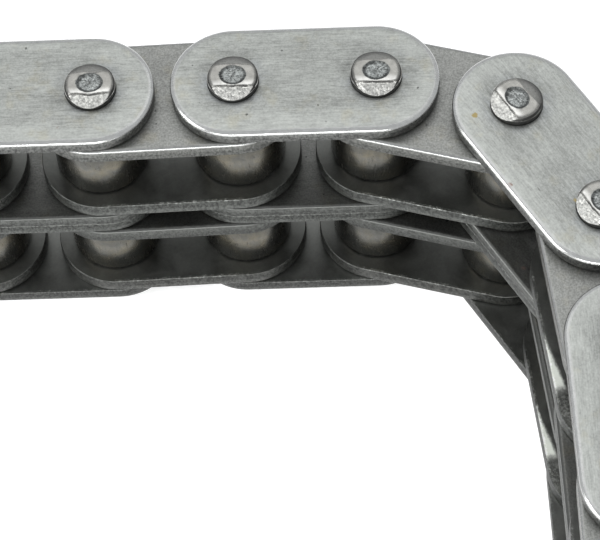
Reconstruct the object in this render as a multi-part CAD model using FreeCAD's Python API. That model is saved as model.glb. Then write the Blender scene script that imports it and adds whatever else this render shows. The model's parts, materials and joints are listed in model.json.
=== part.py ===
"""Open length of duplex roller chain, half-inch pitch, with straight-sided plates, lying on its side.

Inner and outer links alternate, starting and ending with an inner link. Every pin stands along Z.
The origin is on the axis of the free bush bore of the first inner link, midway between the two
strands. +X runs along the straight part of the chain and +Z along the pins. Millimetres.
"""
import FreeCAD
import Part
import math
import os

# ---- chain size ----
PITCH = 12.7
STRAND_PITCH = 13.92
INNER_WIDTH = 7.75

# ---- plates ----
OUTER_PLATE_HEIGHT = 11.3
OUTER_PLATE_THICKNESS = 1.5
MIDDLE_PLATE_THICKNESS = 1.3
MIDDLE_PLATE_GAP = 0.02
INNER_PLATE_HEIGHT = 11.4
INNER_PLATE_THICKNESS = 1.6
OUTER_ROLLED_EDGE = 0.4
INNER_ROLLED_EDGE = 0.2

# ---- pins, bushes and rollers ----
PIN_DIAMETER = 4.45
PIN_CLEARANCE = 0.025
BUSH_DIAMETER = 6.0
BUSH_STAND_OUT = 0.08
ROLLER_DIAMETER = 8.51
ROLLER_CLEARANCE = 0.05
ROLLER_SIDE_PLAY = 0.125
ROLLER_EDGE = 0.3
BORE_EDGE = 0.12

# ---- staked pin ends ----
RIM_HEIGHT = 0.45
BOSS_HEIGHT = 1.0
BOSS_RADIUS = 1.28
SHOULDER_BULGE = 0.16
DIMPLE_DEPTH = 0.12
DIMPLE_WALL = 0.16
STAKE_INNER_OFFSET = 1.05
STAKE_LEDGE_HEIGHT = 0.8
STAKE_SLOPE = 23.0
STAKE_BLOCK = 4.0

# ---- plan directions of the nine links, in degrees from +X, first link to last ----
LINK_DIRECTIONS = (1.5, 0.0, 1.5, 0.0, -15.5, -58.0, -83.5, -88.5, -89.5)

# ---- derived sizes ----
PIN_RADIUS = PIN_DIAMETER / 2
BUSH_RADIUS = BUSH_DIAMETER / 2
BUSH_BORE_RADIUS = PIN_RADIUS + PIN_CLEARANCE
ROLLER_RADIUS = ROLLER_DIAMETER / 2
ROLLER_BORE_RADIUS = BUSH_RADIUS + ROLLER_CLEARANCE
ROLLER_LENGTH = INNER_WIDTH - 2 * ROLLER_SIDE_PLAY
INNER_LINK_WIDTH = INNER_WIDTH + 2 * INNER_PLATE_THICKNESS
BUSH_LENGTH = INNER_LINK_WIDTH + 2 * BUSH_STAND_OUT
MIDDLE_PAIR_THICKNESS = 2 * MIDDLE_PLATE_THICKNESS + MIDDLE_PLATE_GAP
OUTER_LINK_WIDTH = STRAND_PITCH - MIDDLE_PAIR_THICKNESS
UPPER_STRAND_Z = STRAND_PITCH / 2
LOWER_STRAND_Z = -STRAND_PITCH / 2
OUTER_PLATE_FACE_Z = UPPER_STRAND_Z + OUTER_LINK_WIDTH / 2
PIN_HALF_LENGTH = OUTER_PLATE_FACE_Z + OUTER_PLATE_THICKNESS + BOSS_HEIGHT

UP = FreeCAD.Vector(0, 0, 1)


def joint_positions():
    """Pin-axis points in plan, one more than the links."""
    points = [FreeCAD.Vector(0, 0, 0)]
    for direction in LINK_DIRECTIONS:
        angle = math.radians(direction)
        step = FreeCAD.Vector(math.cos(angle), math.sin(angle), 0) * PITCH
        points.append(points[-1] + step)
    return points


def ring(outer_radius, inner_radius, length, centre_z):
    """Tube on the Z axis, centred at the given height."""
    base = FreeCAD.Vector(0, 0, centre_z - length / 2)
    tube = Part.makeCylinder(outer_radius, length, base, UP)
    return tube.cut(Part.makeCylinder(inner_radius, length, base, UP))


def stadium_plate(height, thickness, hole_radius, edge_radius, rolled_face):
    """Straight-sided plate with round ends and two holes, from z = 0 upwards, first hole at the origin.

    rolled_face is "top" or "bottom": the face whose outline carries the rounded rolled-over edge.
    """
    radius = height / 2
    far = FreeCAD.Vector(PITCH, 0, 0)
    near_side = FreeCAD.Vector(0, -radius, 0)
    far_side = FreeCAD.Vector(0, radius, 0)
    edges = [
        Part.LineSegment(near_side, far + near_side).toShape(),
        Part.Arc(far + near_side, far + FreeCAD.Vector(radius, 0, 0), far + far_side).toShape(),
        Part.LineSegment(far + far_side, far_side).toShape(),
        Part.Arc(far_side, FreeCAD.Vector(-radius, 0, 0), near_side).toShape(),
    ]
    plate = Part.Face(Part.Wire(edges)).extrude(UP * thickness)
    rolled_z = thickness if rolled_face == "top" else 0.0
    outline = [edge for edge in plate.Edges if all(abs(v.Z - rolled_z) < 1e-6 for v in edge.Vertexes)]
    plate = plate.makeFillet(edge_radius, outline)
    for centre in (FreeCAD.Vector(0, 0, 0), far):
        plate = plate.cut(Part.makeCylinder(hole_radius, thickness, centre, UP))
    return plate


def staked_end():
    """Pin end above the plate face at z = 0: upright rim, rounded shoulder, dimpled boss, two struck flats."""
    rim = FreeCAD.Vector(PIN_RADIUS, 0, RIM_HEIGHT)
    crest = FreeCAD.Vector(BOSS_RADIUS, 0, BOSS_HEIGHT)
    along = crest - rim
    outward = FreeCAD.Vector(along.z, 0, -along.x)
    outward.normalize()
    middle = (rim + crest) * 0.5 + outward * SHOULDER_BULGE
    outline = [
        Part.LineSegment(FreeCAD.Vector(0, 0, 0), FreeCAD.Vector(PIN_RADIUS, 0, 0)).toShape(),
        Part.LineSegment(FreeCAD.Vector(PIN_RADIUS, 0, 0), rim).toShape(),
        Part.Arc(rim, middle, crest).toShape(),
        Part.LineSegment(crest, FreeCAD.Vector(0, 0, BOSS_HEIGHT)).toShape(),
        Part.LineSegment(FreeCAD.Vector(0, 0, BOSS_HEIGHT), FreeCAD.Vector(0, 0, 0)).toShape(),
    ]
    end = Part.Face(Part.Wire(outline)).revolve(FreeCAD.Vector(0, 0, 0), UP, 360)
    dimple_floor = FreeCAD.Vector(0, 0, BOSS_HEIGHT - DIMPLE_DEPTH)
    end = end.cut(Part.makeCone(BOSS_RADIUS - 2 * DIMPLE_WALL, BOSS_RADIUS - DIMPLE_WALL, DIMPLE_DEPTH,
                                dimple_floor, UP))
    for side in (1, -1):
        block = Part.makeBox(2 * STAKE_BLOCK, STAKE_BLOCK, STAKE_BLOCK,
                             FreeCAD.Vector(-STAKE_BLOCK, 0, 0))
        if side < 0:
            block.rotate(FreeCAD.Vector(0, 0, 0), UP, 180)
        block.rotate(FreeCAD.Vector(0, 0, 0), FreeCAD.Vector(1, 0, 0), -side * STAKE_SLOPE)
        block.translate(FreeCAD.Vector(0, side * STAKE_INNER_OFFSET, STAKE_LEDGE_HEIGHT))
        end = end.cut(block)
    return end


def pin():
    """Pin on the Z axis through both strands, staked at both ends."""
    shank_top = OUTER_PLATE_FACE_Z + OUTER_PLATE_THICKNESS
    shank = Part.makeCylinder(PIN_RADIUS, 2 * shank_top, FreeCAD.Vector(0, 0, -shank_top), UP)
    upper_end = staked_end()
    upper_end.translate(FreeCAD.Vector(0, 0, shank_top))
    lower_end = staked_end()
    lower_end.rotate(FreeCAD.Vector(0, 0, 0), FreeCAD.Vector(1, 0, 0), 180)
    lower_end.translate(FreeCAD.Vector(0, 0, -shank_top))
    return shank.fuse([upper_end, lower_end]).removeSplitter()


def bush(strand_z):
    return ring(BUSH_RADIUS, BUSH_BORE_RADIUS, BUSH_LENGTH, strand_z)


def roller(strand_z):
    """Roller with rounded outer edges and small chamfers in its bore."""
    body = ring(ROLLER_RADIUS, ROLLER_BORE_RADIUS, ROLLER_LENGTH, strand_z)
    rims = [edge for edge in body.Edges if len(edge.Vertexes) == 1]
    outer_rims = [edge for edge in rims if abs(edge.Curve.Radius - ROLLER_RADIUS) < 1e-6]
    body = body.makeFillet(ROLLER_EDGE, outer_rims)
    rims = [edge for edge in body.Edges if len(edge.Vertexes) == 1]
    bore_rims = [edge for edge in rims if abs(edge.Curve.Radius - ROLLER_BORE_RADIUS) < 1e-6]
    return body.makeChamfer(BORE_EDGE, bore_rims)


def plate_at(height, thickness, hole_radius, edge_radius, rolled_face, base_z):
    plate = stadium_plate(height, thickness, hole_radius, edge_radius, rolled_face)
    plate.translate(FreeCAD.Vector(0, 0, base_z))
    return plate


def outer_link_pieces():
    """Outer link along +X from the origin: name to list of solids."""
    top_z = OUTER_PLATE_FACE_Z
    bottom_z = -OUTER_PLATE_FACE_Z - OUTER_PLATE_THICKNESS
    middle_top_z = MIDDLE_PLATE_GAP / 2
    middle_bottom_z = -MIDDLE_PLATE_GAP / 2 - MIDDLE_PLATE_THICKNESS
    second_pin = pin()
    second_pin.translate(FreeCAD.Vector(PITCH, 0, 0))
    outer = (OUTER_PLATE_HEIGHT, OUTER_PLATE_THICKNESS, PIN_RADIUS, OUTER_ROLLED_EDGE)
    middle = (OUTER_PLATE_HEIGHT, MIDDLE_PLATE_THICKNESS, BUSH_BORE_RADIUS, INNER_ROLLED_EDGE)
    return {
        "top_plate": [plate_at(*outer, "top", top_z)],
        "middle_plates": [plate_at(*middle, "top", middle_top_z),
                          plate_at(*middle, "bottom", middle_bottom_z)],
        "bottom_plate": [plate_at(*outer, "bottom", bottom_z)],
        "pin_1": [pin()],
        "pin_2": [second_pin],
    }


def inner_strand_pieces(strand_z):
    """One strand's inner link along +X from the origin: its two plates, two bushes and two rollers."""
    half = INNER_LINK_WIDTH / 2
    inner = (INNER_PLATE_HEIGHT, INNER_PLATE_THICKNESS, BUSH_RADIUS, INNER_ROLLED_EDGE)
    plates = [
        plate_at(*inner, "top", strand_z + half - INNER_PLATE_THICKNESS),
        plate_at(*inner, "bottom", strand_z - half),
    ]
    far = FreeCAD.Vector(PITCH, 0, 0)
    bushes = [bush(strand_z), bush(strand_z)]
    bushes[1].translate(far)
    rollers = [roller(strand_z), roller(strand_z)]
    rollers[1].translate(far)
    return plates, bushes, rollers


def inner_link_pieces():
    """Inner link of both strands along +X from the origin: name to list of solids."""
    pieces = {}
    for level, strand_z in (("upper", UPPER_STRAND_Z), ("lower", LOWER_STRAND_Z)):
        plates, bushes, rollers = inner_strand_pieces(strand_z)
        pieces[level + "_plates"] = plates
        pieces[level + "_bushes"] = bushes
        pieces[level + "_roller_1"] = [rollers[0]]
        pieces[level + "_roller_2"] = [rollers[1]]
    return pieces


def placed(solids, origin, direction):
    """The solids turned about Z to the link's direction and moved to its first pin axis."""
    turned = []
    for solid in solids:
        copy = solid.copy()
        copy.rotate(FreeCAD.Vector(0, 0, 0), UP, direction)
        copy.translate(origin)
        turned.append(copy)
    return turned


def write(node, solids):
    shape = solids[0] if len(solids) == 1 else Part.makeCompound(solids)
    assert shape.isValid() and all(solid.Volume > 0 for solid in shape.Solids), node
    shape.exportStep("parts/" + node + ".step")


def main():
    os.makedirs("parts", exist_ok=True)
    points = joint_positions()
    inner_pieces = inner_link_pieces()
    outer_pieces = outer_link_pieces()
    for index, direction in enumerate(LINK_DIRECTIONS):
        is_inner = index % 2 == 0
        kind = "inner" if is_inner else "outer"
        pieces = inner_pieces if is_inner else outer_pieces
        for piece, solids in pieces.items():
            node = "%s_link_%d_%s" % (kind, index // 2 + 1, piece)
            write(node, placed(solids, points[index], direction))
    print("links:", len(LINK_DIRECTIONS), "overall pin length:", round(2 * PIN_HALF_LENGTH, 2))


main()
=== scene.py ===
import json
import math
from collections import namedtuple

import bmesh
import bpy
from mathutils import Matrix, Vector, noise

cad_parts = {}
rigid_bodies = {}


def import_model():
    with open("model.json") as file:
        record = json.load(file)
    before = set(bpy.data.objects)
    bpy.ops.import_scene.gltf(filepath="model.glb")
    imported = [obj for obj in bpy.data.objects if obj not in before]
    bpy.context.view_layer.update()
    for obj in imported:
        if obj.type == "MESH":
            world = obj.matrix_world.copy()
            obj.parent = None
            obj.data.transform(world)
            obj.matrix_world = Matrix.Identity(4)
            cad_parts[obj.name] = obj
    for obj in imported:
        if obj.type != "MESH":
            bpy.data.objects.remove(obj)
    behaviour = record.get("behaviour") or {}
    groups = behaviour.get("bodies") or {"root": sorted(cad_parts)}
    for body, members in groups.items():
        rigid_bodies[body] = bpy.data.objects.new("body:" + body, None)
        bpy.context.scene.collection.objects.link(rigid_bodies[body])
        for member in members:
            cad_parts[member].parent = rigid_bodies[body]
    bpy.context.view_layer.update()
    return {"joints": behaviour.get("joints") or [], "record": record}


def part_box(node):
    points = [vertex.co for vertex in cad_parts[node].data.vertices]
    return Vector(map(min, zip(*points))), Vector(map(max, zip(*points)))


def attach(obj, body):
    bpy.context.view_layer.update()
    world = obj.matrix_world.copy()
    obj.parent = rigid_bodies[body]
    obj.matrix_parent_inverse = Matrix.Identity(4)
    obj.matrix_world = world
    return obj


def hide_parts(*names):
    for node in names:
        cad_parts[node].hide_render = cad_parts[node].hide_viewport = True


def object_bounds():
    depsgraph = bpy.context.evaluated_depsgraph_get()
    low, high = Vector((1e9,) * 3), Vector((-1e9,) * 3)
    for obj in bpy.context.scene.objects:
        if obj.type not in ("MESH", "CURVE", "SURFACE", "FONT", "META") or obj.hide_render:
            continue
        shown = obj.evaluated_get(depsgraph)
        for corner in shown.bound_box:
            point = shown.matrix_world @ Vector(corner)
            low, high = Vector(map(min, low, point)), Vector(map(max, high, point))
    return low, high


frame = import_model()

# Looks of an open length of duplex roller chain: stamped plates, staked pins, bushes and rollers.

MM = 0.001

# ---- what the frame says ----
RECORD = frame["record"]
MOUNTS = {mount["name"]: Vector(mount["pos_m"]) for mount in RECORD["mounts"]}
ARTICULATIONS = [joint for joint in frame["joints"] if joint["name"].startswith("articulation")]
LINKS = [ARTICULATIONS[0]["parent"]] + [joint["child"] for joint in ARTICULATIONS]
PIN_POINTS = [MOUNTS["first_end_bore"]]
PIN_POINTS += [Vector(joint["pos_m"]) for joint in ARTICULATIONS]
PIN_POINTS += [MOUNTS["last_end_bore"]]
PITCH = (PIN_POINTS[1] - PIN_POINTS[0]).length
PAINTED_REFLECTION_LINK = LINKS[6]

# ---- plates ----
OUTER_HEIGHT = 11.3 * MM
INNER_HEIGHT = 11.4 * MM
OUTER_THICKNESS = 1.5 * MM
MIDDLE_THICKNESS = 1.3 * MM
INNER_THICKNESS = 1.6 * MM
OUTER_ROLL = (0.75 * MM, 0.33 * MM)  # width and depth of the rolled-over upper edge
MIDDLE_ROLL = (0.40 * MM, 0.20 * MM)
INNER_ROLL = (0.45 * MM, 0.24 * MM)
PIN_HOLE_GAP = 0.01 * MM
HOLE_CHAMFER = 0.09 * MM
EDGE_STRIP = 0.15 * MM  # narrow flat beside an edge, which keeps the face's shading level
BURNISHED_SHARE = 0.35  # of the side below the roll: the rest is torn
TORN_DRAFT = 0.035 * MM
BURR_WIDTH = 0.09 * MM
BURR_HEIGHT = 0.06 * MM
SMOOTH_WAVE = 0.010 * MM  # unevenness of the outline
TORN_WAVE = 0.022 * MM
SLOW_WAVES = 0.35  # per millimetre
QUICK_WAVES = 1.7

# ---- pins, bushes, rollers ----
PIN_RADIUS = 2.225 * MM
BUSH_BORE_RADIUS = 2.25 * MM
BUSH_RADIUS = 3.0 * MM
BUSH_LENGTH = 11.11 * MM
BUSH_EDGE = 0.05 * MM
BUSH_BORE_EDGE = 0.15 * MM
ROLLER_RADIUS = 4.255 * MM
ROLLER_BORE_RADIUS = 3.05 * MM
ROLLER_LENGTH = 7.5 * MM
ROLLER_EDGE = 0.3 * MM
ROLLER_BORE_EDGE = 0.12 * MM

# ---- staked pin ends, heights above the plate ----
RIM_TOP = 0.60 * MM
BOSS_TOP = 1.0 * MM
SHOULDER_FULLNESS = 2.5
BOSS_RADIUS = 1.50 * MM
DIMPLE_HALF_LENGTH = 1.22 * MM
DIMPLE_HALF_WIDTH = 1.02 * MM
DIMPLE_DEPTH = 0.14 * MM
DIMPLE_RIM = 0.72  # where the dimple starts to sink, as a share of its half length
FLAT_OFFSET = 1.10 * MM
FLAT_LEDGE = 0.88 * MM
FLAT_SLOPE = math.tan(math.radians(23.0))
LEDGE_WIDTH = 0.10 * MM
STRUCK_FLAT = (1.0, 1.0, 0.0)  # share of the chatter, share of the depth, rise
SOFT_FLAT = (0.4, 0.55, 0.04 * MM)  # the far flat is struck less deeply
HEAD_SPREAD = 0.026  # of the pin's radius, all round
FLAT_SPREAD = 0.016  # and beyond the flats
NECK = ((0.30, 1.030), (0.03, 1.026), (-0.12, 0.99))  # millimetres above the plate, share of the radius


def smoothstep(low, high, value):
    t = min(1.0, max(0.0, (value - low) / (high - low)))
    return t * t * (3 - 2 * t)


def rough(point, scale, seed):
    """Smooth noise between about -1 and 1 at a point given in metres, scale in waves per millimetre."""
    return noise.noise(Vector(point) / MM * scale + Vector((seed * 13.1, seed * 5.3, seed * 7.7)))


# ---- meshes, each in its link's own coordinates: X along the link from its first pin axis ----

def finish_mesh(name, bm, sharp_degrees=32.0):
    bmesh.ops.recalc_face_normals(bm, faces=bm.faces)
    mesh = bpy.data.meshes.new(name)
    bm.to_mesh(mesh)
    bm.free()
    mesh.shade_smooth()
    mesh.set_sharp_from_angle(angle=math.radians(sharp_degrees))
    return mesh


def bridge(bm, first, second):
    """Faces between two closed rings of the same number of vertices."""
    count = len(first)
    for i in range(count):
        j = (i + 1) % count
        bm.faces.new((first[i], first[j], second[j], second[i]))


def stadium_ring(bm, radius, inset, z, edge_wave, seed):
    """Ring of vertices round a stadium of two pin centres, moved inwards by inset."""
    arc_steps = 44
    side_steps = 30
    ring = []
    for turn, centre_x in ((0, PITCH), (1, 0.0)):
        start = -math.pi / 2 + turn * math.pi
        for k in range(arc_steps):
            ring.append((centre_x, start + math.pi * k / arc_steps))
        direction = 1 if turn else -1
        for k in range(side_steps):
            ring.append((centre_x + direction * PITCH * k / side_steps, start + math.pi))
    vertices = []
    for centre_x, angle in ring:
        along = Vector((math.cos(angle), math.sin(angle), 0))
        edge = Vector((centre_x, 0, 0)) + along * radius
        waves = rough(edge, SLOW_WAVES, seed) + 0.5 * rough(edge, QUICK_WAVES, seed + 3)
        spot = Vector((centre_x, 0, 0)) + along * (radius - inset - abs(edge_wave * waves))
        vertices.append(bm.verts.new((spot.x, spot.y, z)))
    return vertices


def circle_ring(bm, centre_x, radius, z, steps=64):
    angles = [2 * math.pi * k / steps for k in range(steps)]
    return [bm.verts.new((centre_x + radius * math.cos(a), radius * math.sin(a), z)) for a in angles]


def ring_edges(bm, ring):
    edges = []
    for i, vertex in enumerate(ring):
        other = ring[(i + 1) % len(ring)]
        edges.append(bm.edges.get((vertex, other)) or bm.edges.new((vertex, other)))
    return edges


def plate_profile(thickness, roll_width, roll_depth):
    """Inset, height and unevenness of each ring of a plate's outline, from its upper face to its lower."""
    top = thickness / 2
    roll_steps = 12
    torn_steps = 5
    profile = [(roll_width + EDGE_STRIP, top, 0.0)]
    for k in range(roll_steps + 1):
        angle = math.pi / 2 * k / roll_steps
        inset = roll_width * (1 - math.sin(angle))
        profile.append((inset, top - roll_depth * (1 - math.cos(angle)), SMOOTH_WAVE))
    torn_start = top - roll_depth - BURNISHED_SHARE * (thickness - roll_depth)
    for k in range(torn_steps + 1):
        share = k / torn_steps
        z = torn_start + (-top + BURR_HEIGHT - torn_start) * share
        profile.append((TORN_DRAFT * share, z, TORN_WAVE))
    profile.append((BURR_WIDTH, -top, SMOOTH_WAVE))
    profile.append((BURR_WIDTH + EDGE_STRIP, -top, 0.0))
    return profile


def stamped_plate(name, height, thickness, hole_radius, roll, seed):
    """Stadium plate with two holes, centred on z = 0: its upper outline rolled over by the punch, its
    side burnished above and torn below, its lower outline with a small burr."""
    bm = bmesh.new()
    top = thickness / 2
    profile = plate_profile(thickness, *roll)
    rings = [stadium_ring(bm, height / 2, inset, z, wave, seed) for inset, z, wave in profile]
    for upper, lower in zip(rings, rings[1:]):
        bridge(bm, upper, lower)
    levels = (
        (hole_radius + HOLE_CHAMFER + EDGE_STRIP, top),
        (hole_radius + HOLE_CHAMFER, top),
        (hole_radius, top - HOLE_CHAMFER),
        (hole_radius, -top + HOLE_CHAMFER),
        (hole_radius + HOLE_CHAMFER, -top),
        (hole_radius + HOLE_CHAMFER + EDGE_STRIP, -top),
    )
    hole_tops = []
    hole_bottoms = []
    for centre_x in (0.0, PITCH):
        wall = [circle_ring(bm, centre_x, r, z) for r, z in levels]
        for upper, lower in zip(wall, wall[1:]):
            bridge(bm, upper, lower)
        hole_tops.append(wall[0])
        hole_bottoms.append(wall[-1])
    for outline, holes in ((rings[0], hole_tops), (rings[-1], hole_bottoms)):
        edges = ring_edges(bm, outline)
        for hole in holes:
            edges += ring_edges(bm, hole)
        bmesh.ops.triangle_fill(bm, edges=edges, use_beauty=True)
    return finish_mesh(name, bm)


def head_height(x, y, seed):
    """Height of a staked pin end above the plate: round shoulder, dimpled boss and two struck flats."""
    def ripple(size, waves, shift):
        return size * MM * rough((x, y, 0), waves, seed + shift)

    r = math.hypot(x, y)
    inward = min(1.0, max(0.0, (PIN_RADIUS - r) / (PIN_RADIUS - BOSS_RADIUS)))
    fall = (1 - (1 - inward) ** SHOULDER_FULLNESS) ** (1 / SHOULDER_FULLNESS)
    height = RIM_TOP + (BOSS_TOP - RIM_TOP) * fall
    flat_start = FLAT_OFFSET + ripple(0.14, 0.9, 8)
    ledge = smoothstep(flat_start, flat_start + LEDGE_WIDTH, abs(y))
    chatter = ripple(0.045, 2.6, 0) + ripple(0.025, 6.0, 1)
    chatter_share, depth_share, rise = SOFT_FLAT if y > 0 else STRUCK_FLAT
    flat = FLAT_LEDGE - (abs(y) - FLAT_OFFSET) * FLAT_SLOPE + chatter * chatter_share + rise
    if flat < height:
        height += (flat - height) * ledge * depth_share
    reach = math.hypot(x / DIMPLE_HALF_LENGTH, y / DIMPLE_HALF_WIDTH)
    wobble = 0.06 * rough((x, y, 0), 0.8, seed + 2)
    sunk = 1 - smoothstep(DIMPLE_RIM, 1.0, reach + wobble)
    angle = math.atan2(y, x)
    rays = rough((math.cos(angle) * 3 * MM, math.sin(angle) * 3 * MM, r), 1.4, seed + 4)
    floor = DIMPLE_DEPTH + 0.035 * MM * rays + ripple(0.030, 3.0, 5)
    return height - sunk * floor + ripple(0.006, 2.5, 6)


def staked_head(bm, base_z, side, seed):
    """Upper (side 1) or lower (side -1) pin end on a polar grid. Returns the ring that meets the shank."""
    spokes = 96
    hoops = 34
    hoop_crowding = 1.25
    angles = [2 * math.pi * spoke / spokes for spoke in range(spokes)]
    grid = []
    for hoop in range(1, hoops + 1):
        share = hoop / hoops
        radius = PIN_RADIUS * (1 - (1 - share) ** hoop_crowding)
        ring = []
        for angle in angles:
            spread = HEAD_SPREAD + FLAT_SPREAD * math.sin(angle) ** 6
            bulge = 1 + spread * smoothstep(0.6, 1.0, share)
            x = radius * bulge * math.cos(angle)
            y = radius * bulge * math.sin(angle)
            ring.append(bm.verts.new((x, y, base_z + side * head_height(x, y, seed))))
        grid.append(ring)
    centre = bm.verts.new((0, 0, base_z + side * head_height(0.0, 0.0, seed)))
    first = grid[0]
    for i in range(spokes):
        bm.faces.new((centre, first[i], first[(i + 1) % spokes]))
    for inner, outer in zip(grid, grid[1:]):
        bridge(bm, inner, outer)
    previous = grid[-1]
    for number, (level, widen) in enumerate(NECK):
        beyond_flats = FLAT_SPREAD if number == 0 else 0.0
        ring = []
        for angle in angles:
            swell = widen + beyond_flats * math.sin(angle) ** 6
            x = PIN_RADIUS * swell * math.cos(angle)
            y = PIN_RADIUS * swell * math.sin(angle)
            ring.append(bm.verts.new((x, y, base_z + side * level * MM)))
        bridge(bm, previous, ring)
        previous = ring
    return previous


def staked_pin(name, low_z, high_z, seed):
    """Whole pin between the outer faces of its two outer plates, with a staked end at each."""
    bm = bmesh.new()
    upper = staked_head(bm, high_z, 1, seed)
    lower = staked_head(bm, low_z, -1, seed + 20)
    bridge(bm, upper, lower)
    return finish_mesh(name, bm, 40.0)


def turned(name, profile, steps=96):
    """Closed ring turned about Z from a closed profile of (radius, z) points."""
    bm = bmesh.new()
    rings = [circle_ring(bm, 0.0, radius, z, steps) for radius, z in profile]
    for first, second in zip(rings, rings[1:] + rings[:1]):
        bridge(bm, first, second)
    return finish_mesh(name, bm)


def rounded_ring_profile(outer, inner, length, edge, bore_edge):
    """Half section of a ring with rounded outer edges and chamfered bore edges."""
    half = length / 2
    steps = 6
    angles = [math.pi / 2 * k / steps for k in range(steps + 1)]
    points = [(outer - edge + edge * math.sin(a), half - edge + edge * math.cos(a)) for a in angles]
    points += [(outer - edge + edge * math.cos(a), -half + edge - edge * math.sin(a)) for a in angles]
    points.append((inner + bore_edge, -half))
    points.append((inner, -half + bore_edge))
    points.append((inner, half - bore_edge))
    points.append((inner + bore_edge, half))
    return points


# ---- colours ----
# Rolled-edge colours: burnished steel painted brighter as a highlight on the open plates; the one for
# plates inside the chain is painted shade.
BURNISHED_ROLL_SHEEN = (0.50, 0.505, 0.495)
INNER_ROLL_SHEEN = (0.36, 0.364, 0.355)
ROLL_PAINTED_SHADE = (0.085, 0.087, 0.083)
OUTER_SIDE = (0.105, 0.107, 0.102)
INNER_SIDE = (0.105, 0.107, 0.10)
# Sides of plates inside the chain: a darker copy, painted shade. Inward faces: oily, and painted dark as
# shade.
SIDE_PAINTED_SHADE = (0.072, 0.075, 0.070)
INSIDE_OIL_AND_SHADE = (0.158, 0.162, 0.153)
# Of the faces below, the middle and hidden ones are darker copies of the outer and inner ones: painted
# shade.
OUTER_FACE = (0.320, 0.330, 0.312)
MIDDLE_FACE_PAINTED_SHADE = (0.140, 0.142, 0.135)
INNER_FACE = (0.240, 0.244, 0.231)
HIDDEN_FACE_PAINTED_SHADE = (0.115, 0.117, 0.111)
RUST = (0.17, 0.052, 0.026, 1)
GREASE = (0.33, 0.27, 0.13, 1)
WARM_STEEL = (1.0, 0.94, 0.80)  # times a face's own colour
COOL_STEEL = (0.86, 0.88, 0.98)
PIN_SHOULDER_SHADED = (0.23, 0.228, 0.212, 1)
PIN_RING_LIT = (0.34, 0.335, 0.312, 1)
PIN_GLINT = (0.68, 0.675, 0.645, 1)
PIN_FLAT_LIT = (0.43, 0.43, 0.407)
PIN_FAR_FLAT_SHADED = (0.25, 0.25, 0.236)
PIN_DIMPLE = (0.25, 0.262, 0.255)
PIN_WALL_SHADE = (0.075, 0.075, 0.072)
BUSH_STEEL = (0.16, 0.16, 0.155)
BUSH_WORN = (0.17, 0.155, 0.13)
ROLLER_STEEL = (0.165, 0.164, 0.150)
ROLLER_WORN = (0.200, 0.182, 0.138)
PAPER = (0.90, 0.90, 0.90, 1)
STUDIO_AIR = (0.96, 0.975, 1.0, 1)

# ---- shares of each pattern in a plate's brightness: fixed part, part that goes with the grain ----
FINE_SHARE = 0.75
COARSE_SHARE = 0.55
BLOTCH_SHARE = 0.65
CLOUD_SHARES = (0.35, 0.25)
SAND_SHARES = (0.24, 0.30)
PAINTED_EDGE_SHEEN_SHARE = 0.24
SCRATCH_SHARE = 0.16
PIT_SHADE = 0.40
NICK_SHADE = 0.50
WORN_SHARE = 1.6
FLECK_SHARE = 6.0

# ---- the painted reflection wedge: millimetres along (X) and across (Y) its plate, both ends of each fade ----
REFLECTION_LINE_START = 5.5
REFLECTION_LINE_HEIGHT = 5.75
REFLECTION_LINE_SLOPE = 0.20
REFLECTION_EDGE = (0.05, 0.45)
REFLECTION_END = (12.6, 11.6)
RAGGED_ALONG = 1.6
RAGGED_ACROSS = 0.5
SCUFF_ACROSS = (3.6, 4.8)
SCUFF_START = (10.0, 12.5)
SCUFF_END = (16.0, 14.0)
SCUFF_SPECKS = (0.42, 0.62)
SCUFF_SHARE = 0.28
REFLECTION_ROUGHNESS = 0.40
PAINTED_REFLECTION_BRIGHTNESS = 4.3


# ---- materials ----

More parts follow.
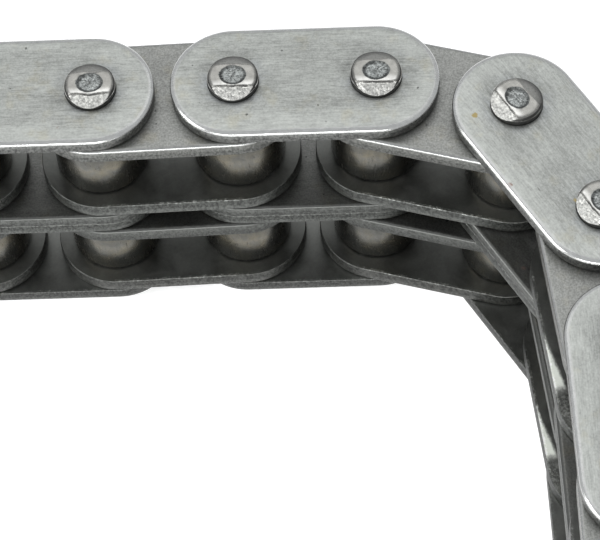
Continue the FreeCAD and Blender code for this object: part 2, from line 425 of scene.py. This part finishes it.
class Shader:
    """One node material, with short calls that add a node and return its output."""

    def __init__(self, name):
        self.material = bpy.data.materials.new(name)
        self.material.use_nodes = True
        self.tree = self.material.node_tree
        self.tree.nodes.clear()
        output = self.tree.nodes.new("ShaderNodeOutputMaterial")
        self.surface = self.tree.nodes.new("ShaderNodeBsdfPrincipled")
        self.tree.links.new(self.surface.outputs[0], output.inputs[0])
        texture = self.tree.nodes.new("ShaderNodeTexCoord")
        info = self.tree.nodes.new("ShaderNodeObjectInfo")
        piece_shift = self.vector("SCALE", (17.31, 7.13, 0.0), scale=info.outputs["Object Index"])
        self.normal = texture.outputs["Normal"]
        self.origin = info.outputs["Location"]
        self.place = self.vector("SCALE", texture.outputs["Object"], scale=1 / MM)
        self.spot = self.vector("ADD", self.place, piece_shift)

    def set(self, socket, value):
        if isinstance(value, bpy.types.NodeSocket):
            self.tree.links.new(value, socket)
        elif value is not None:
            socket.default_value = value

    def vector(self, operation, first, second=None, scale=None):
        node = self.tree.nodes.new("ShaderNodeVectorMath")
        node.operation = operation
        self.set(node.inputs[0], first)
        self.set(node.inputs[1], second)
        if scale is not None:
            self.set(node.inputs["Scale"], scale)
        return node.outputs["Value"] if operation == "LENGTH" else node.outputs["Vector"]

    def math(self, operation, first, second=None):
        node = self.tree.nodes.new("ShaderNodeMath")
        node.operation = operation
        self.set(node.inputs[0], first)
        self.set(node.inputs[1], second)
        return node.outputs[0]

    def plus(self, first, second):
        return self.math("ADD", first, second)

    def minus(self, first, second):
        return self.math("SUBTRACT", first, second)

    def times(self, first, second):
        return self.math("MULTIPLY", first, second)

    def layered(self, total, *layers):
        """Total plus each layer's value times its weight."""
        for value, weight in layers:
            total = self.plus(total, self.times(value, weight))
        return total

    def centred(self, pattern, size):
        """Pattern about 0 instead of about a half, times size."""
        return self.times(self.minus(pattern, 0.5), size)

    def split(self, vector):
        node = self.tree.nodes.new("ShaderNodeSeparateXYZ")
        self.set(node.inputs[0], vector)
        return node.outputs

    def join(self, x, y, z):
        node = self.tree.nodes.new("ShaderNodeCombineXYZ")
        for socket, value in zip(node.inputs, (x, y, z)):
            self.set(socket, value)
        return node.outputs[0]

    def noise(self, vector, scale=1.0, detail=2.0, roughness=0.5, distortion=0.0):
        node = self.tree.nodes.new("ShaderNodeTexNoise")
        self.set(node.inputs["Vector"], vector)
        self.set(node.inputs["Scale"], scale)
        self.set(node.inputs["Detail"], detail)
        self.set(node.inputs["Roughness"], roughness)
        self.set(node.inputs["Distortion"], distortion)
        return node.outputs[0]

    def cells(self, vector, scale=1.0):
        node = self.tree.nodes.new("ShaderNodeTexVoronoi")
        self.set(node.inputs["Vector"], vector)
        self.set(node.inputs["Scale"], scale)
        return node.outputs["Distance"]

    def stretch(self, x, y, z):
        """The piece's own place with another number of waves along each axis."""
        return self.vector("MULTIPLY", self.spot, (x, y, z))

    def band(self, value, low, high, to_low=0.0, to_high=1.0):
        node = self.tree.nodes.new("ShaderNodeMapRange")
        node.interpolation_type = "SMOOTHSTEP"
        self.set(node.inputs["Value"], value)
        self.set(node.inputs["From Min"], low)
        self.set(node.inputs["From Max"], high)
        self.set(node.inputs["To Min"], to_low)
        self.set(node.inputs["To Max"], to_high)
        return node.outputs[0]

    def mix(self, data_type, kind, share, first, second):
        node = self.tree.nodes.new("ShaderNodeMix")
        node.data_type = data_type
        sockets = {socket.identifier: socket for socket in node.inputs}
        for name, value in (("Factor_Float", share), ("A_" + kind, first), ("B_" + kind, second)):
            self.set(sockets[name], value)
        return next(socket for socket in node.outputs if socket.identifier == "Result_" + kind)

    def blend(self, share, first, second):
        """Colour mix: first where share is 0, second where it is 1."""
        return self.mix("RGBA", "Color", share, first, second)

    def lerp(self, share, first, second):
        """Number mix."""
        return self.mix("FLOAT", "Float", share, first, second)

    def tint(self, colour, factor):
        """Colour multiplied by a grey factor."""
        fixed = not isinstance(colour, bpy.types.NodeSocket)
        return self.vector("SCALE", colour[:3] if fixed else colour, scale=factor)

    def bump(self, height, distance, strength):
        node = self.tree.nodes.new("ShaderNodeBump")
        node.inputs["Strength"].default_value = strength
        node.inputs["Distance"].default_value = distance
        self.set(node.inputs["Height"], height)
        return node.outputs[0]

    def end(self, colour, roughness, normal, metallic=1.0):
        self.set(self.surface.inputs["Base Color"], colour)
        self.set(self.surface.inputs["Roughness"], roughness)
        self.set(self.surface.inputs["Normal"], normal)
        self.surface.inputs["Metallic"].default_value = metallic
        return self.material


# Colours of a plate's outer face, inward face, side and rolled edge; how strong the brushed grain, the
# smudges round the pins, the rust and painted edge sheen of the open face, the wear of the inward edge and
# the painted reflection wedge are; half the plate's height and the width of its burnished edge in
# millimetres.
# half the plate's height and the width of its burnished edge in millimetres.
PlateLook = namedtuple(
    "PlateLook", "face inside side roll grain dirt exposed wear rubbed half_height roll_width")


class PlateSteel(Shader):
    """Stamped plate: brushed outer face with a grain along the plate, smudges, pits and specks of rust,
    and a painted sheen towards one long edge; a burnished rolled-over edge, painted brighter as a
    highlight;
    mottled torn sides with painted shade on pieces lying lower; a dark inner face, oily and painted dark
    as shade, with a worn bright edge."""

    def __init__(self, name, look):
        super().__init__(name)
        self.look = look
        self.find_place()
        self.make_patterns()

    def find_place(self):
        """Distances on the plate in millimetres, and masks of its faces and its rolled edge."""
        self.x, self.y, self.z = self.split(self.place)
        length = PITCH / MM
        along = self.math("MINIMUM", self.math("MAXIMUM", self.x, 0.0), length)
        self.from_line = self.vector("LENGTH", self.join(self.minus(self.x, along), self.y, 0.0))
        folded = self.minus(self.math("ABSOLUTE", self.minus(self.x, length / 2)), length / 2)
        self.from_pin = self.vector("LENGTH", self.join(folded, self.y, 0.0))
        self.straight = self.band(folded, 1.2, -0.8)
        up = self.split(self.normal)[2]
        self.on_face = self.band(up, 0.55, 0.93)
        self.on_inside = self.band(up, -0.55, -0.93)
        half_height, roll_width = self.look.half_height, self.look.roll_width
        near_edge = self.band(self.from_line, half_height - roll_width, half_height - 0.45 * roll_width)
        self.burnish_and_sheen = self.times(near_edge, self.band(up, 0.08, 0.35))

    def make_patterns(self):
        """Patterns that more than one part of the plate uses."""
        self.fine = self.noise(self.stretch(0.6, 7.0, 7.0), detail=3.0, roughness=0.65)
        self.coarse = self.noise(self.stretch(0.28, 2.4, 2.4), detail=5.0, roughness=0.7, distortion=0.8)
        self.blotch = self.noise(self.stretch(1.5, 3.0, 3.0), detail=5.0, roughness=0.75, distortion=0.3)
        self.cloud = self.noise(self.stretch(0.20, 0.42, 0.42), detail=4.0, roughness=0.65, distortion=0.8)
        scratch_field = self.noise(self.stretch(0.5, 16.0, 16.0), detail=1.0, distortion=0.2)
        self.scratches = self.band(scratch_field, 0.68, 0.74)
        self.speckle = self.noise(self.spot, 4.2, detail=4.0, roughness=0.8)
        pit_size = self.band(self.noise(self.spot, 1.3, detail=1.0), 0.50, 0.72, 0.0, 0.13)
        self.pits = self.band(self.minus(self.cells(self.spot, 0.75), pit_size), 0.02, -0.03)
        self.mottle = self.noise(self.stretch(4.2, 4.2, 3.0), detail=4.0, roughness=0.8)
        self.drag = self.noise(self.stretch(4.0, 4.0, 0.4), detail=3.0, roughness=0.65)
        self.film = self.noise(self.spot, 0.35, detail=4.0, roughness=0.65, distortion=0.8)
        self.ragged = self.times(self.noise(self.spot, 5.0), 0.06)
        self.rusty = self.times(self.specks((3.7, 1.9, 0.0), 0.21, 0.098, 0.070), self.look.exposed)

    def specks(self, shift, scale, outside, inside):
        """Few small ragged spots."""
        cells = self.cells(self.vector("ADD", self.spot, shift), scale)
        return self.band(self.plus(cells, self.ragged), outside, inside)

    def face_level(self, pin_shade):
        """Brightness of the outer face."""
        look = self.look
        sand = self.band(self.noise(self.spot, 6.0, detail=2.0, roughness=0.7), 0.30, 0.70)
        # Painted sheen: the face is lighter towards its edge on one long side.
        sheen_side = self.band(self.y, 1.0, -2.0, 0.35, 1.0)
        edge = self.band(self.from_line, look.half_height - 3.4, look.half_height - 0.8)
        nick_cells = self.cells(self.stretch(0.35, 1.5, 1.5))
        nicks = self.times(self.band(nick_cells, 0.13, 0.07), self.band(self.coarse, 0.55, 0.62))
        patterns = (
            (self.fine, FINE_SHARE * look.grain),
            (self.coarse, COARSE_SHARE * look.grain),
            (self.blotch, BLOTCH_SHARE),
            (self.cloud, CLOUD_SHARES[0] + CLOUD_SHARES[1] * look.grain),
            (sand, SAND_SHARES[0] + SAND_SHARES[1] * (1 - look.grain)),
        )
        level = self.layered(1.0 - 0.5 * sum(share for _, share in patterns), *patterns)
        level = self.minus(level, self.times(pin_shade, look.dirt))
        level = self.layered(level, (self.times(edge, sheen_side), PAINTED_EDGE_SHEEN_SHARE * look.exposed),
                             (self.scratches, SCRATCH_SHARE * look.grain))
        level = self.times(level, self.lerp(self.pits, 1.0, PIT_SHADE))
        return self.times(level, self.lerp(nicks, 1.0, NICK_SHADE))

    def face_colour(self):
        face = self.look.face
        smudge = self.layered(self.from_pin, (self.cloud, 3.0))
        pin_shade = self.band(smudge, 5.6, 3.2)
        level = self.face_level(pin_shade)
        warm = self.band(self.noise(self.spot, 0.45, detail=3.0, roughness=0.6), 0.54, 0.74)
        cool = self.times(pin_shade, self.band(self.cloud, 0.45, 0.62))
        colour = self.tint(face, level)
        for share, shift in ((self.times(warm, 0.5), WARM_STEEL), (self.times(cool, 0.8), COOL_STEEL)):
            metal = tuple(own * times for own, times in zip(face, shift))
            colour = self.blend(share, colour, self.tint(metal, level))
        colour = self.blend(self.rusty, colour, RUST)
        return self.blend(self.specks((8.3, 4.4, 0.0), 0.19, 0.090, 0.068), colour, GREASE)

    def side_colour(self):
        shear = self.band(self.layered(self.z, (self.drag, 0.5)), 0.15, 0.45)
        level = self.plus(0.36, self.times(self.band(self.mottle, 0.38, 0.62), 1.2))
        level = self.layered(level, (self.times(shear, self.drag), 0.9))
        # Painted shade: the sides of pieces lying lower are darker.
        low_pieces_shade = self.band(self.split(self.origin)[2], -14 * MM, 4 * MM, 0.62, 1.0)
        return self.tint(self.look.side, self.times(level, low_pieces_shade))

    def painted_reflection_mark(self):
        """Painted reflection: a bright wedge on the inward face along its front edge, and a faint patch of
        scuffs
        beyond it, scratches with painted sheen: 1 inside the wedge."""
        slant = self.times(self.minus(self.x, REFLECTION_LINE_START), REFLECTION_LINE_SLOPE)
        inner_line = self.minus(REFLECTION_LINE_HEIGHT, slant)
        depth = self.minus(self.layered(self.y, (self.speckle, RAGGED_ACROSS)), inner_line)
        ragged_x = self.layered(self.x, (self.speckle, RAGGED_ALONG))
        wedge = self.times(self.band(depth, *REFLECTION_EDGE), self.band(ragged_x, *REFLECTION_END))
        specks = self.times(self.band(self.y, *SCUFF_ACROSS), self.band(self.speckle, *SCUFF_SPECKS))
        stretch = self.times(self.band(self.x, *SCUFF_START), self.band(self.x, *SCUFF_END))
        scuff_sheen = self.times(self.times(specks, stretch), SCUFF_SHARE)
        return self.math("MAXIMUM", wedge, scuff_sheen)

    def inside_colour(self, mark):
        look = self.look
        worn_line = self.layered(self.from_line, (self.speckle, 0.45))
        at_edge = self.band(worn_line, look.half_height - 0.12, look.half_height + 0.04)
        worn = self.times(at_edge, self.band(self.blotch, 0.35, 0.62))
        worn = self.times(self.times(worn, self.straight), self.band(self.cloud, 0.40, 0.56, 0.25, 1.0))
        flecks = self.times(worn, self.band(self.mottle, 0.50, 0.58))
        level = self.layered(0.40, (self.film, 0.75), (self.speckle, 0.45),
                             (worn, WORN_SHARE * look.wear), (flecks, FLECK_SHARE * look.wear))
        if mark is not None:
            level = self.layered(level, (mark, look.rubbed))
        return self.tint(look.inside, level)

    def roughness(self, mark):
        face = self.layered(0.28, (self.coarse, 0.18), (self.speckle, 0.08), (self.rusty, 0.4))
        side = self.layered(0.30, (self.mottle, 0.35))
        roll_rough = 0.12 + 0.35 * (0.52 - self.look.roll[0])
        roll = self.layered(roll_rough, (self.blotch, 0.16))
        inside = self.layered(0.25, (self.film, 0.3))
        if mark is not None:
            inside = self.layered(inside, (mark, REFLECTION_ROUGHNESS))
        value = self.lerp(self.on_face, side, face)
        value = self.lerp(self.burnish_and_sheen, value, roll)
        return self.lerp(self.on_inside, value, inside)

    def relief(self):
        grain = self.look.grain
        face = self.layered(self.times(self.fine, grain), (self.scratches, -0.8 * grain),
                            (self.coarse, 0.9 * grain), (self.blotch, 1.3),
                            (self.speckle, 1.2 * (1 - grain)))
        face = self.minus(face, self.times(self.pits, 1.5))
        side = self.times(self.plus(self.times(self.mottle, 2.0), self.drag), 2.4)
        height = self.lerp(self.on_face, side, face)
        height = self.lerp(self.burnish_and_sheen, height, self.times(self.blotch, 0.7))
        height = self.lerp(self.on_inside, height, self.times(self.film, 0.8))
        return self.bump(height, 0.010 * MM, 0.9)

    def finished(self):
        mark = self.painted_reflection_mark() if self.look.rubbed else None
        colour = self.blend(self.on_face, self.side_colour(), self.face_colour())
        # The rolled edge: burnished, and painted brighter as a highlight (painted darker as shade on
        # plates inside the chain).
        roll_sheen = self.tint(self.look.roll, self.layered(0.75, (self.blotch, 0.5)))
        colour = self.blend(self.times(self.burnish_and_sheen, 0.85), colour, roll_sheen)
        colour = self.blend(self.on_inside, colour, self.inside_colour(mark))
        return self.end(colour, self.roughness(mark), self.relief())


def pin_steel(name):
    """Bright pin: a dark punched dimple scratched outwards, rough struck flats; painted light and shade by
    slope and side, and a painted glint.
    """
    s = Shader(name)
    x, y, _ = s.split(s.place)
    upright = s.math("ABSOLUTE", s.split(s.normal)[2])
    uneven = s.noise(s.spot, 1.6, detail=3.0, roughness=0.6)
    crumbs = s.noise(s.spot, 5.0, detail=4.0, roughness=0.75)
    chips = s.noise(s.spot, 6.5, detail=3.0, roughness=0.8)
    streaks = s.noise(s.stretch(9.0, 1.6, 2.0), detail=3.0, roughness=0.65)

    boss_x = s.math("DIVIDE", x, DIMPLE_HALF_LENGTH / MM)
    boss_y = s.math("DIVIDE", y, DIMPLE_HALF_WIDTH / MM)
    boss = s.vector("LENGTH", s.join(boss_x, boss_y, 0.0))
    boss_line = s.plus(boss, s.centred(uneven, 0.16))
    in_boss = s.band(boss_line, 1.04, 0.96)
    # Painted shade in the sunken outline of the dimple.
    dimple_edge_shade = s.times(s.band(boss_line, 0.62, 0.86), in_boss)
    turn = s.math("ARCTAN2", y, x)
    ray_place = s.join(s.times(turn, 3.2), s.times(boss, 1.6), 0.0)
    rays = s.noise(s.vector("ADD", ray_place, s.spot), detail=5.0, roughness=0.8, distortion=1.4)
    rays = s.layered(s.times(rays, 0.55), (chips, 0.45))

    flat_start = FLAT_OFFSET / MM
    flat_line = s.plus(s.math("ABSOLUTE", y), s.centred(crumbs, 0.25))
    in_flat = s.band(flat_line, flat_start, flat_start + 0.12)
    struck_side = s.band(y, 0.4, -0.4)
    # Painted shade along the crease of the struck flat.
    crease_shade = s.band(s.math("ABSOLUTE", s.minus(flat_line, flat_start + 0.03)), 0.11, 0.03)
    crease_shade = s.times(crease_shade, struck_side)

    # Painted light by slope: the level ring lighter than the sloping shoulder, with a painted glint on one
    # side.
    ring = s.band(upright, 0.86, 0.99)
    glint = s.times(ring, s.band(y, -0.35, -0.95))
    shine = s.blend(glint, s.blend(ring, PIN_SHOULDER_SHADED, PIN_RING_LIT), PIN_GLINT)
    shine = s.tint(shine, s.layered(0.50, (uneven, 0.9)))
    # Painted light and shade: the near flat lighter, the far flat darker and darker still towards the rim.
    near_flat = s.tint(PIN_FLAT_LIT, s.band(crumbs, 0.32, 0.68, 0.62, 1.45))
    far_flat = s.tint(PIN_FAR_FLAT_SHADED, s.layered(0.45, (crumbs, 1.1)))
    rim_shade = s.band(s.vector("LENGTH", s.join(x, y, 0.0)), 1.5, 2.25, 1.0, 0.45)
    flat_colour = s.blend(struck_side, s.tint(far_flat, rim_shade), near_flat)
    boss_colour = s.tint(PIN_DIMPLE, s.band(rays, 0.40, 0.62, 0.35, 2.3))
    boss_colour = s.tint(boss_colour, s.lerp(dimple_edge_shade, 1.0, 0.34))
    # Painted shade on the steep wall of the pin end.
    wall = s.band(s.layered(upright, (uneven, 0.15)), 0.93, 0.74)
    wall_shade_colour = s.tint(PIN_WALL_SHADE, s.layered(0.3, (uneven, 1.3)))
    colour = s.tint(s.blend(in_flat, shine, flat_colour), s.lerp(crease_shade, 1.0, 0.8))
    colour = s.blend(in_boss, colour, boss_colour)
    colour = s.blend(wall, colour, wall_shade_colour)

    roughness = s.layered(0.17, (uneven, 0.18))
    roughness = s.lerp(in_flat, roughness, s.layered(0.16, (crumbs, 0.34)))
    roughness = s.lerp(in_boss, roughness, 0.42)
    roughness = s.lerp(wall, roughness, 0.5)
    relief = s.layered(crumbs, (streaks, 0.5))
    height = s.lerp(in_flat, s.times(uneven, 0.9), s.times(relief, 3.6))
    height = s.lerp(in_boss, height, s.times(rays, 6.0))
    return s.end(colour, roughness, s.bump(height, 0.014 * MM, 0.9))


def turned_steel(name, base, worn, end_shade, polish):
    """Roller or bush: fine hoops from turning, warm worn patches, the ends darkened by old oil and by
    painted shade, which leaves the middle lighter."""
    s = Shader(name)
    x, y, z = s.split(s.place)
    radius = s.vector("LENGTH", s.join(x, y, 0.0))
    hoop_place = s.join(s.times(radius, 6.0), 0.0, s.times(z, 6.0))
    hoops = s.noise(hoop_place, detail=3.0, roughness=0.65)
    film = s.noise(s.spot, 0.45, detail=4.0, roughness=0.6, distortion=0.5)
    scuff_field = s.noise(s.stretch(3.5, 3.5, 0.7), detail=2.0, roughness=0.6)
    scuffs = s.band(scuff_field, 0.60, 0.72)
    drip_place = s.join(s.times(x, 2.2), s.times(y, 2.2), s.times(z, 0.35))
    drips = s.noise(drip_place, detail=4.0, roughness=0.75)
    grit = s.noise(s.spot, 3.2, detail=5.0, roughness=0.8)

    level = s.layered(-0.35, (hoops, 0.40), (grit, 0.75), (film, 0.80), (drips, 0.70))
    level = s.minus(level, s.times(scuffs, 0.16))
    colour = s.blend(s.band(film, 0.35, 0.72), s.tint(base, level), s.tint(worn, level))
    # The ends are darkened: old oil and painted shade.
    end_shade_line = s.plus(s.math("ABSOLUTE", z), s.centred(film, 1.6))
    painted_end_shade = s.band(end_shade_line, -1.4, 1.8)
    colour = s.tint(colour, s.lerp(painted_end_shade, 1.0, end_shade))
    roughness = s.layered(polish, (film, 0.18), (scuffs, 0.14))
    height = s.layered(hoops, (scuffs, -0.5))
    return s.end(colour, roughness, s.bump(height, 0.006 * MM, 0.7))


def make_looks():
    outer_half = OUTER_HEIGHT / 2 / MM
    inner_half = INNER_HEIGHT / 2 / MM
    # Plates inside the chain take darker copies of the open plates' colours: painted shade.
    shaded_inner = PlateLook(face=HIDDEN_FACE_PAINTED_SHADE, inside=INSIDE_OIL_AND_SHADE, side=SIDE_PAINTED_SHADE, roll=ROLL_PAINTED_SHADE, grain=0.25,
                       dirt=0.03, exposed=0.3, wear=1.0, rubbed=0.0, half_height=inner_half,
                       roll_width=0.3)
    inner = shaded_inner._replace(face=INNER_FACE, side=INNER_SIDE, roll=INNER_ROLL_SHEEN, exposed=0.5,
                            wear=0.6, roll_width=0.35)
    middle = shaded_inner._replace(face=MIDDLE_FACE_PAINTED_SHADE, grain=0.5, dirt=0.05, wear=0.25, half_height=outer_half)
    outer = middle._replace(face=OUTER_FACE, side=OUTER_SIDE, roll=BURNISHED_ROLL_SHEEN, grain=1.0, dirt=0.16,
                            exposed=1.0, roll_width=0.6)
    # This look carries the painted reflection wedge on its inward face.
    rubbed = shaded_inner._replace(roll=BURNISHED_ROLL_SHEEN, rubbed=PAINTED_REFLECTION_BRIGHTNESS)
    return {
        "outer": PlateSteel("outer_plate_steel", outer).finished(),
        "middle": PlateSteel("middle_plate_steel", middle).finished(),
        "inner": PlateSteel("inner_plate_steel", inner).finished(),
        "inner_shaded": PlateSteel("inner_plate_steel_oiled", shaded_inner).finished(),
        "inner_painted_reflection": PlateSteel("inner_plate_steel_painted_reflection", rubbed).finished(),
        "pin": pin_steel("pin_steel"),
        "bush": turned_steel("bush_steel", BUSH_STEEL, BUSH_WORN, end_shade=0.5, polish=0.34),
        "roller": turned_steel("roller_steel", ROLLER_STEEL, ROLLER_WORN, end_shade=0.56, polish=0.15),
    }


# ---- placing pieces ----

def link_place(index):
    start = PIN_POINTS[index]
    along = PIN_POINTS[index + 1] - start
    return Matrix.Translation(start) @ Matrix.Rotation(math.atan2(along.y, along.x), 4, "Z")


def add_piece(name, mesh, material, place, body, node, index):
    piece = bpy.data.objects.new(name, mesh)
    bpy.context.scene.collection.objects.link(piece)
    mesh.materials.append(material)
    piece.matrix_world = place
    piece.pass_index = index
    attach(piece, body)
    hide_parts(node)


def raised(z):
    return Matrix.Translation((0, 0, z))


def at_pin(number, z=0.0):
    """Place of a link's pin axis 1 or 2 in the link's own coordinates."""
    return Matrix.Translation(((number - 1) * PITCH, 0, z))


TURNED_OVER = Matrix.Rotation(math.pi, 4, "X")


def node_levels(node):
    low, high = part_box(node)
    return low[2], high[2]


def build_outer_link(index, body, looks):
    place = link_place(index)
    seed = 10 * index
    top_high = node_levels(body + "_top_plate")[1]
    bottom_low = node_levels(body + "_bottom_plate")[0]
    middle_low, middle_high = node_levels(body + "_middle_plates")
    half = OUTER_THICKNESS / 2
    middle_half = MIDDLE_THICKNESS / 2
    outer = (OUTER_HEIGHT, OUTER_THICKNESS, PIN_RADIUS + PIN_HOLE_GAP, OUTER_ROLL)
    middle = (OUTER_HEIGHT, MIDDLE_THICKNESS, BUSH_BORE_RADIUS, MIDDLE_ROLL)
    under = raised(bottom_low + half) @ TURNED_OVER
    middle_under = raised(middle_low + middle_half) @ TURNED_OVER
    plates = (
        ("top_plate", "top_plate", outer, raised(top_high - half), "outer"),
        ("bottom_plate", "bottom_plate", outer, under, "outer"),
        ("middle_plate_upper", "middle_plates", middle, raised(middle_high - middle_half), "middle"),
        ("middle_plate_lower", "middle_plates", middle, middle_under, "middle"),
    )
    for number, (name, node, sizes, level, look) in enumerate(plates):
        mesh = stamped_plate(body + "_" + name, *sizes, seed + number)
        add_piece(body + "_look_" + name, mesh, looks[look], place @ level, body, body + "_" + node,
                  seed + number + 1)
    for number in (1, 2):
        node = "%s_pin_%d" % (body, number)
        mesh = staked_pin(node, bottom_low, top_high, seed + 3 * number)
        add_piece("%s_look_pin_%d" % (body, number), mesh, looks["pin"], place @ at_pin(number), body,
                  node, seed + number + 5)


def build_strand(body, strand, level_name, place, looks, seed):
    """One strand of an inner link: two plates, two bushes and two rollers."""
    sizes = (INNER_HEIGHT, INNER_THICKNESS, BUSH_RADIUS, INNER_ROLL)
    node = "%s_%s_plates" % (body, level_name)
    look_name = "%s_look_%s" % (body, level_name)
    low, high = node_levels(node)
    half = INNER_THICKNESS / 2
    sides = (("top", raised(high - half)), ("bottom", raised(low + half) @ TURNED_OVER))
    for number, (side, level) in enumerate(sides):
        mark = seed + 2 * strand + number
        look = looks["inner" if strand == number else "inner_shaded"]
        # One plate of this link carries the painted reflection wedge on its inward face.
        if body == PAINTED_REFLECTION_LINK and side == "bottom":
            look = looks["inner_painted_reflection"]
        mesh = stamped_plate("%s_%s_%s_plate" % (body, level_name, side), *sizes, mark)
        add_piece("%s_%s_plate" % (look_name, side), mesh, look, place @ level, body, node,
                  mark + 1)
    bush_profile = rounded_ring_profile(BUSH_RADIUS, BUSH_BORE_RADIUS, BUSH_LENGTH, BUSH_EDGE,
                                        BUSH_BORE_EDGE)
    roller_profile = rounded_ring_profile(ROLLER_RADIUS, ROLLER_BORE_RADIUS, ROLLER_LENGTH, ROLLER_EDGE,
                                          ROLLER_BORE_EDGE)
    for number in (1, 2):
        spot = place @ at_pin(number, (low + high) / 2)
        bush = turned("%s_%s_bush_%d" % (body, level_name, number), bush_profile)
        add_piece("%s_bush_%d" % (look_name, number), bush, looks["bush"], spot, body,
                  "%s_%s_bushes" % (body, level_name), seed + number + 4)
        node = "%s_%s_roller_%d" % (body, level_name, number)
        roller = turned(node, roller_profile)
        add_piece("%s_roller_%d" % (look_name, number), roller, looks["roller"], spot, node + "_body",
                  node, seed + 2 * strand + number + 6)


def build_chain():
    looks = make_looks()
    for index, body in enumerate(LINKS):
        if index % 2:
            build_outer_link(index, body, looks)
        else:
            for strand, level_name in enumerate(("upper", "lower")):
                build_strand(body, strand, level_name, link_place(index), looks, 10 * index)


# ---- stage, lights and camera ----

FLOOR_RADIUS = 3.0
FLOOR_GLOW = 0.34
FLOOR_GLOW_COLOUR = (1.0, 1.0, 1.0, 1)
LIGHT_AIM = Vector((0.043, -0.011, 0.0))
STUDIO_STRENGTH = 0.80
CAMERA_AIM = Vector((0.04336, -0.01081, 0.0))
CAMERA_DISTANCE = 0.225697
CAMERA_AZIMUTH = math.radians(-2.4915)
CAMERA_ELEVATION = math.radians(60.3676)
CAMERA_ROLL = math.radians(-3.976)
CAMERA_LENS = 148.18
CAMERA_SENSOR = 36.0
CAMERA_CLIP = (0.01, 20.0)


def build_floor():
    bm = bmesh.new()
    bmesh.ops.create_circle(bm, cap_ends=True, segments=96, radius=FLOOR_RADIUS)
    mesh = bpy.data.meshes.new("floor")
    bm.to_mesh(mesh)
    bm.free()
    floor = bpy.data.objects.new("floor", mesh)
    bpy.context.scene.collection.objects.link(floor)
    floor.location.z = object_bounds()[0][2]
    s = Shader("floor_paper")
    fibres = s.noise(s.spot, 0.8, detail=4.0, roughness=0.6)
    colour = s.tint(PAPER, s.layered(0.985, (fibres, 0.03)))
    s.surface.inputs["Emission Color"].default_value = FLOOR_GLOW_COLOUR
    s.surface.inputs["Emission Strength"].default_value = FLOOR_GLOW
    mesh.materials.append(s.end(colour, 0.85, s.bump(fibres, 0.02 * MM, 0.3), metallic=0.0))


def add_softbox(name, azimuth, elevation, distance, size, power):
    """Area light seen from the aim point at that azimuth (0 is +Y, 90 is +X) and elevation, in degrees."""
    light = bpy.data.lights.new(name, "AREA")
    light.shape = "RECTANGLE"
    light.size, light.size_y = size
    light.energy = power
    lamp = bpy.data.objects.new(name, light)
    bpy.context.scene.collection.objects.link(lamp)
    turn = math.radians(azimuth)
    rise = math.radians(elevation)
    level = math.cos(rise)
    away = Vector((math.sin(turn) * level, math.cos(turn) * level, math.sin(rise)))
    lamp.location = LIGHT_AIM + away * distance
    lamp.rotation_euler = away.to_track_quat("Z", "Y").to_euler()
    lamp.visible_camera = False


def build_lights():
    add_softbox("back_softbox", azimuth=-4, elevation=62, distance=0.80, size=(0.90, 0.70), power=1.3)
    add_softbox("front_strip", azimuth=190, elevation=32, distance=0.55, size=(0.40, 0.10), power=1.8)
    add_softbox("left_softbox", azimuth=254, elevation=32, distance=0.55, size=(0.26, 0.30), power=1.9)
    world = bpy.data.worlds.new("studio")
    world.use_nodes = True
    background = world.node_tree.nodes["Background"]
    background.inputs["Color"].default_value = STUDIO_AIR
    background.inputs["Strength"].default_value = STUDIO_STRENGTH
    bpy.context.scene.world = world


def build_camera():
    """Long lens, above and in front of the chain, turned slightly so that the back run is nearly level."""
    level = math.cos(CAMERA_ELEVATION)
    forward = Vector((math.sin(CAMERA_AZIMUTH) * level, math.cos(CAMERA_AZIMUTH) * level,
                      -math.sin(CAMERA_ELEVATION)))
    lens = bpy.data.cameras.new("camera")
    lens.sensor_width = CAMERA_SENSOR
    lens.lens = CAMERA_LENS
    lens.clip_start, lens.clip_end = CAMERA_CLIP
    camera = bpy.data.objects.new("camera", lens)
    bpy.context.scene.collection.objects.link(camera)
    stand = Matrix.Translation(CAMERA_AIM - forward * CAMERA_DISTANCE)
    facing = forward.to_track_quat("-Z", "Y").to_matrix().to_4x4()
    camera.matrix_world = stand @ facing @ Matrix.Rotation(CAMERA_ROLL, 4, "Z")
    bpy.context.scene.camera = camera


build_chain()
build_floor()
build_lights()
build_camera()
bpy.context.scene.view_settings.view_transform = "Standard"
bpy.context.view_layer.update()
